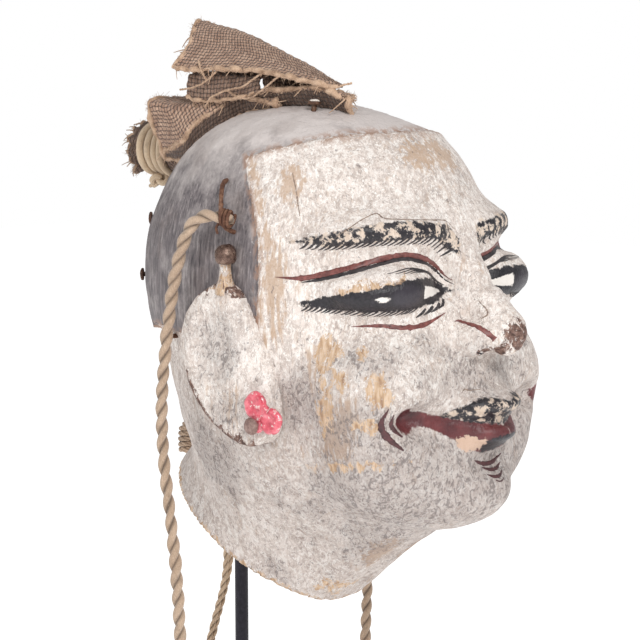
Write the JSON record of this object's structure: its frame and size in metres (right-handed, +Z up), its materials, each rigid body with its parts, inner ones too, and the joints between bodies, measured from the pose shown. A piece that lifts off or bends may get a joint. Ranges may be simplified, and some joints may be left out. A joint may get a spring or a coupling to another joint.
{
  "type": "puppet head on display rod",
  "caption": "Carved and painted puppet head with twisted cords, a hessian topknot wrap and pinned flower earrings, turning on a rod that stands on a square base.",
  "frame": {"origin": "centre of the base's underside, on the rod's axis", "axes": "+Z up along the rod; the face looks along -Y; the puppet's own right side (_R) is at -X"},
  "size_m": [0.13, 0.183, 0.371],
  "materials": {
    "base_wood": "dark stained, satin",
    "felt": "dense wool felt",
    "rod_paint": "black satin paint",
    "zinc": "dull zinc",
    "liner_brass": "drawn tube, dull",
    "painted_wood": "worn gesso and paint over light wood",
    "ear_wood": "worn gesso over light wood",
    "rusty_iron": "rusted, matte",
    "rusty_wire": "rusted wire",
    "jute_cord": "three-strand twisted jute",
    "lashing_cord": "twisted cotton cord, waxed",
    "hessian": "plain-weave jute sacking, frayed edges",
    "stub_wood": "rough whittled wood",
    "pink_lacquer": "thick glossy lacquer over thin sheet"
  },
  "bodies": {
    "stand": {"base_block": "base_wood", "base_felt": "felt", "stand_rod": "rod_paint", "rod_collar": "rod_paint", "rod_washer": "zinc", "rod_nut": "zinc"},
    "liner": {"neck_liner": "liner_brass"},
    "head": {"head_block": "painted_wood", "ear_R": "ear_wood", "ear_L": "ear_wood", "ear_nail_R": "rusty_iron", "ear_nail_L": "rusty_iron", "temple_staple_R": "rusty_wire", "temple_staple_L": "rusty_wire", "temple_binding_R": "rusty_wire", "temple_binding_L": "rusty_wire", "temple_cord_R": "jute_cord", "temple_cord_L": "jute_cord", "cord_knot_R": "jute_cord", "cord_knot_L": "jute_cord", "nape_staple": "rusty_wire", "nape_knot": "jute_cord", "nape_tail_a": "jute_cord", "nape_tail_b": "jute_cord", "tail_knot_a": "jute_cord", "tail_knot_b": "jute_cord", "topknot_core": "stub_wood", "topknot_lashing": "lashing_cord", "cloth_lower": "hessian", "cloth_middle": "hessian", "cloth_upper": "hessian", "cloth_nails": "rusty_iron", "back_nails": "rusty_iron", "earring_nail_R": "rusty_iron", "earring_nail_L": "rusty_iron"},
    "earring_R": {"ear_flower_R": "pink_lacquer"},
    "earring_L": {"ear_flower_L": "pink_lacquer"}
  },
  "joints": [
    {"name": "head_lift", "type": "slide", "parent": "stand", "child": "liner", "axis": [0, 0, 1], "range_m": [0, 0.07]},
    {"name": "head_turn", "type": "hinge", "parent": "liner", "child": "head", "pos_m": [0, 0, 0.25], "axis": [0, 0, 1], "continuous": true},
    {"name": "earring_swing_R", "type": "hinge", "parent": "head", "child": "earring_R", "pos_m": [-0.06035, -0.0608, 0.2436], "axis": [1, 0, 0], "range_deg": [-30, 30]},
    {"name": "earring_swing_L", "type": "hinge", "parent": "head", "child": "earring_L", "pos_m": [0.06035, -0.0608, 0.2436], "axis": [1, 0, 0], "range_deg": [-30, 30]}
  ]
}
